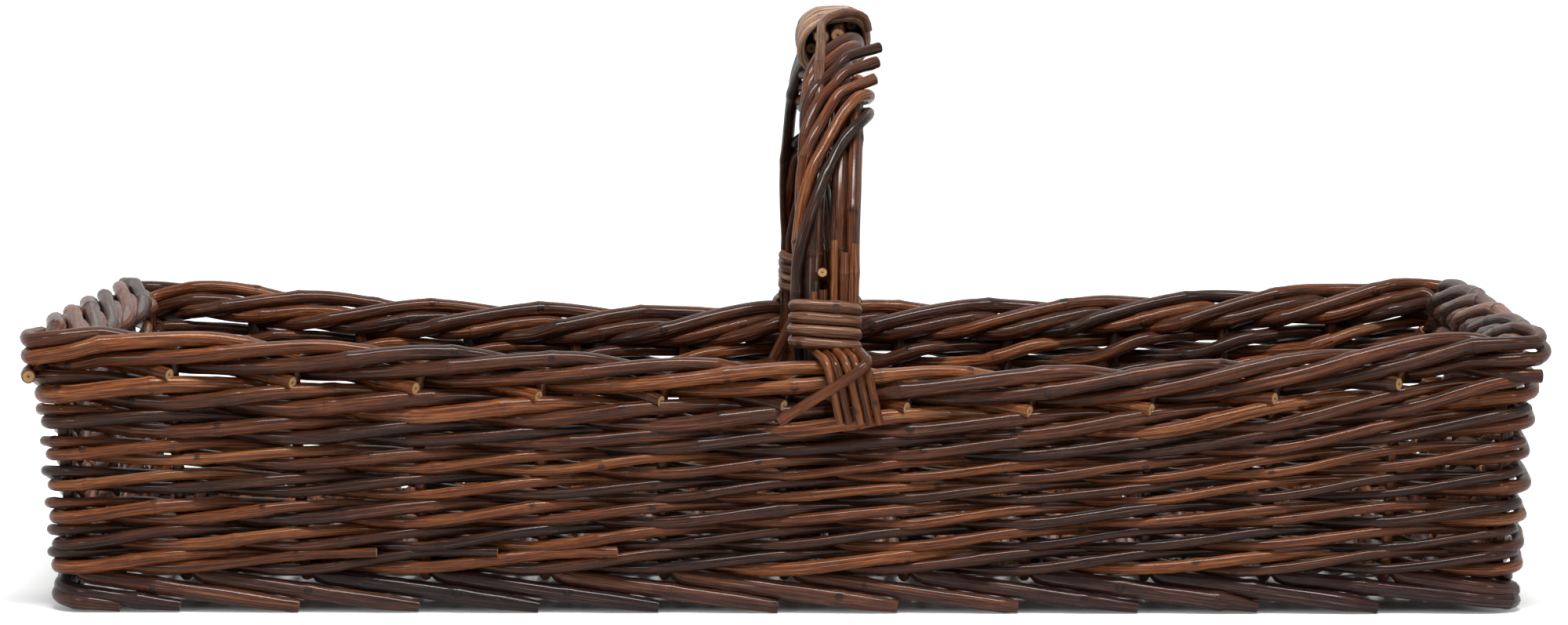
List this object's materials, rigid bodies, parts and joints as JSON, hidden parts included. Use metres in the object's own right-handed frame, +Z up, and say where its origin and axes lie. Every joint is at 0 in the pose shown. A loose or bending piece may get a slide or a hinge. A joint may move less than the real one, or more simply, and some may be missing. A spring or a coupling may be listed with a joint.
{
  "type": "trug garden basket",
  "caption": "Rectangular woven bark-on rod basket with a flared wall, rolled border, foot border and a fixed wrapped arch handle.",
  "frame": {"origin": "centre of the bounding box at the ground plane the foot border stands on", "axes": "+X along the long side, +Y from the front side to the back side, +Z up"},
  "size_m": [0.599, 0.3268, 0.234],
  "materials": {
    "stake_bark": "varnished bark",
    "siding_bark": "varnished bark",
    "upsett_bark": "varnished bark",
    "foot_bark": "varnished bark",
    "base_bark": "varnished bark",
    "winding_bark": "varnished bark",
    "handle_bark": "varnished bark"
  },
  "bodies": {
    "root": {"base_sticks": "base_bark", "base_weave": "base_bark", "binding_back": "winding_bark", "binding_front": "winding_bark", "binding_tail_back": "handle_bark", "binding_tail_front": "handle_bark", "bow_rod_left": "handle_bark", "bow_rod_right": "handle_bark", "foot_back": "foot_bark", "foot_front": "foot_bark", "foot_left": "foot_bark", "foot_right": "foot_bark", "grip_wrap": "winding_bark", "handle_peg": "handle_bark", "roping_back": "handle_bark", "roping_front": "handle_bark", "siding_1_back": "siding_bark", "siding_1_front": "siding_bark", "siding_1_left": "siding_bark", "siding_1_right": "siding_bark", "siding_2_back": "siding_bark", "siding_2_front": "siding_bark", "siding_2_left": "siding_bark", "siding_2_right": "siding_bark", "siding_3_back": "siding_bark", "siding_3_front": "siding_bark", "siding_3_left": "siding_bark", "siding_3_right": "siding_bark", "siding_4_back": "siding_bark", "siding_4_front": "siding_bark", "siding_4_left": "siding_bark", "siding_4_right": "siding_bark", "siding_5_back": "siding_bark", "siding_5_front": "siding_bark", "siding_5_left": "siding_bark", "siding_5_right": "siding_bark", "stakes_back": "stake_bark", "stakes_back_left": "stake_bark", "stakes_back_right": "stake_bark", "stakes_front": "stake_bark", "stakes_front_left": "stake_bark", "stakes_front_right": "stake_bark", "stakes_left": "stake_bark", "stakes_right": "stake_bark", "upsett_1_back": "upsett_bark", "upsett_1_front": "upsett_bark", "upsett_1_left": "upsett_bark", "upsett_1_right": "upsett_bark", "upsett_2_back": "upsett_bark", "upsett_2_front": "upsett_bark", "upsett_2_left": "upsett_bark", "upsett_2_right": "upsett_bark", "wedges_back": "handle_bark", "wedges_front": "handle_bark"}
  },
  "joints": []
}
